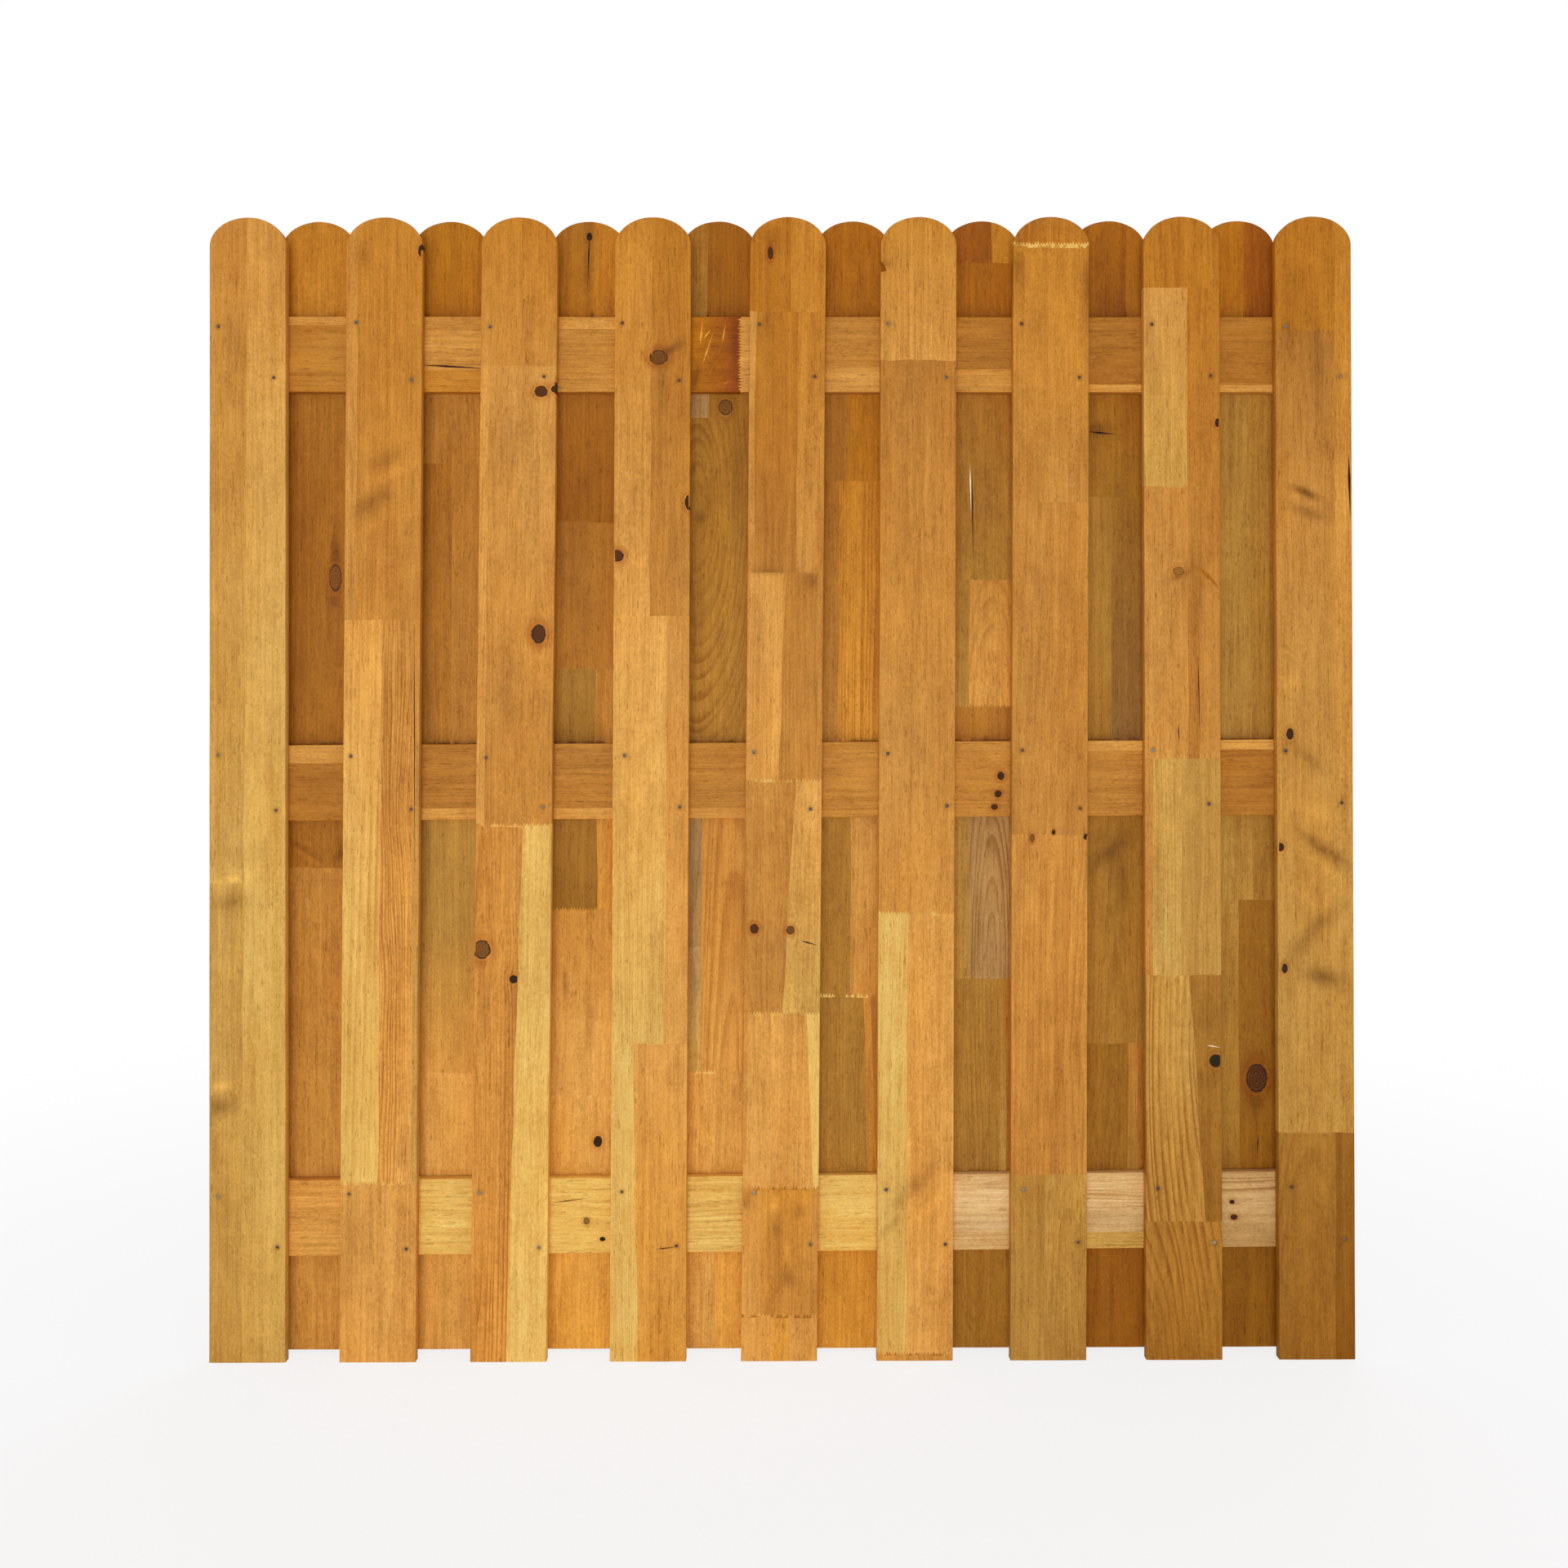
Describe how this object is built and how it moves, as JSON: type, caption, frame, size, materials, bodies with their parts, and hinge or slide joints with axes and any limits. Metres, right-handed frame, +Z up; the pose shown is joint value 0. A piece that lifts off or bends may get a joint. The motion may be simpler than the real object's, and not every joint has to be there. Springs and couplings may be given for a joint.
{
  "type": "plank fence panel",
  "caption": "Board-on-board timber fence panel: round-headed upright planks in two staggered layers, nailed to cross rails between them.",
  "frame": {"origin": "foot of the left edge of the left front plank, in the middle of the front planks' thickness: the corner of the flat edge that is set against the left post", "axes": "+X along the panel to the right as seen from the front, +Y from the front planks through the rails to the back planks, +Z up"},
  "size_m": [1.8, 0.0546, 1.805],
  "materials": {
    "front_plank_wood": "honey-stained edge-glued softwood, satin",
    "back_plank_wood": "brown-stained edge-glued softwood, satin",
    "rail_wood": "honey-stained softwood, satin"
  },
  "bodies": {
    "root": {"front_plank_1": "front_plank_wood", "front_plank_2": "front_plank_wood", "front_plank_3": "front_plank_wood", "front_plank_4": "front_plank_wood", "front_plank_5": "front_plank_wood", "front_plank_6": "front_plank_wood", "front_plank_7": "front_plank_wood", "front_plank_8": "front_plank_wood", "front_plank_9": "front_plank_wood", "bottom_rail": "rail_wood", "middle_rail": "rail_wood", "top_rail": "rail_wood", "back_plank_1": "back_plank_wood", "back_plank_2": "back_plank_wood", "back_plank_3": "back_plank_wood", "back_plank_4": "back_plank_wood", "back_plank_5": "back_plank_wood", "back_plank_6": "back_plank_wood", "back_plank_7": "back_plank_wood", "back_plank_8": "back_plank_wood"}
  },
  "joints": []
}
